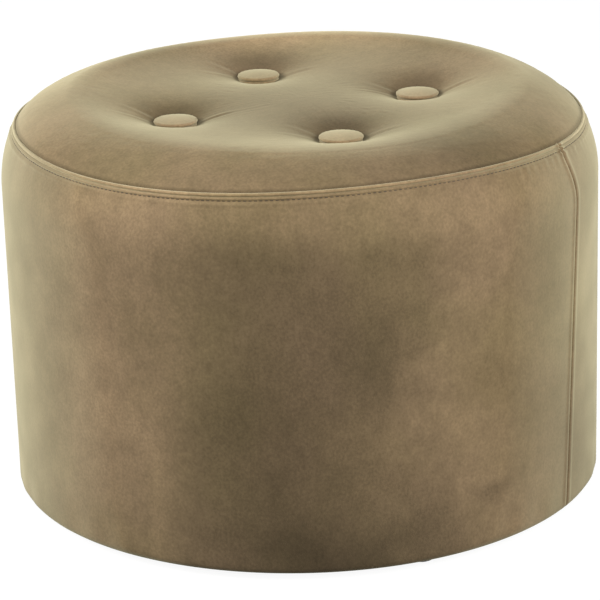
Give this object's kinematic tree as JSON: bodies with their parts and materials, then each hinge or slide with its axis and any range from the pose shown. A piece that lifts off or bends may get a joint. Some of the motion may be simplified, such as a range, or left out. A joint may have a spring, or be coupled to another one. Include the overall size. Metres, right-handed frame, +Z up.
{
  "type": "tuffet",
  "caption": "Round velvet tuffet with a straight padded side and a domed top pulled down by covered buttons, on a boarded drum frame.",
  "frame": {"origin": "on the floor, under the middle of the tuffet", "axes": "+Z up; +X and -X towards the two side seams; -Y towards the front panel"},
  "size_m": [0.55, 0.55, 0.3802],
  "materials": {
    "velvet_top": "short-pile velvet",
    "velvet_side": "short-pile velvet",
    "velvet_button": "short-pile velvet",
    "sewing_thread": "matt twisted thread",
    "twine": "waxed twine",
    "soft_foam": "open-cell foam",
    "firm_foam": "open-cell foam",
    "wadding": "soft fibre wadding",
    "plywood": "raw plywood",
    "hardboard": "smooth hardboard",
    "pine": "sawn pine",
    "zinc_screw": "zinc plated",
    "staple_wire": "galvanised",
    "button_metal": "pressed sheet",
    "anchor_plastic": "moulded",
    "dust_cloth": "spun-bonded cloth",
    "glide_plastic": "moulded"
  },
  "bodies": {
    "root": {"top_cover": "velvet_top", "side_cover_front": "velvet_side", "side_cover_back": "velvet_side", "button_cover_1": "velvet_button", "button_cover_2": "velvet_button", "button_cover_3": "velvet_button", "button_cover_4": "velvet_button", "top_stitching": "sewing_thread", "button_twine_1": "twine", "button_twine_2": "twine", "button_twine_3": "twine", "button_twine_4": "twine", "crown_foam": "soft_foam", "seat_foam": "firm_foam", "top_wadding": "wadding", "side_padding": "wadding", "base_board": "plywood", "seat_board": "plywood", "wall_board_front": "hardboard", "wall_board_back": "hardboard", "frame_post_1": "pine", "frame_post_2": "pine", "frame_post_3": "pine", "frame_post_4": "pine", "frame_post_5": "pine", "frame_post_6": "pine", "base_screws": "zinc_screw", "seat_screws": "zinc_screw", "glide_screws": "zinc_screw", "wall_staples": "staple_wire", "cover_staples": "staple_wire", "dust_cover_staples": "staple_wire", "button_shell_1": "button_metal", "button_shell_2": "button_metal", "button_shell_3": "button_metal", "button_shell_4": "button_metal", "button_back_1": "button_metal", "button_back_2": "button_metal", "button_back_3": "button_metal", "button_back_4": "button_metal", "button_eye_1": "button_metal", "button_eye_2": "button_metal", "button_eye_3": "button_metal", "button_eye_4": "button_metal", "tuft_anchor_1": "anchor_plastic", "tuft_anchor_2": "anchor_plastic", "tuft_anchor_3": "anchor_plastic", "tuft_anchor_4": "anchor_plastic", "dust_cover": "dust_cloth", "glide_1": "glide_plastic", "glide_2": "glide_plastic", "glide_3": "glide_plastic", "glide_4": "glide_plastic"}
  },
  "joints": []
}
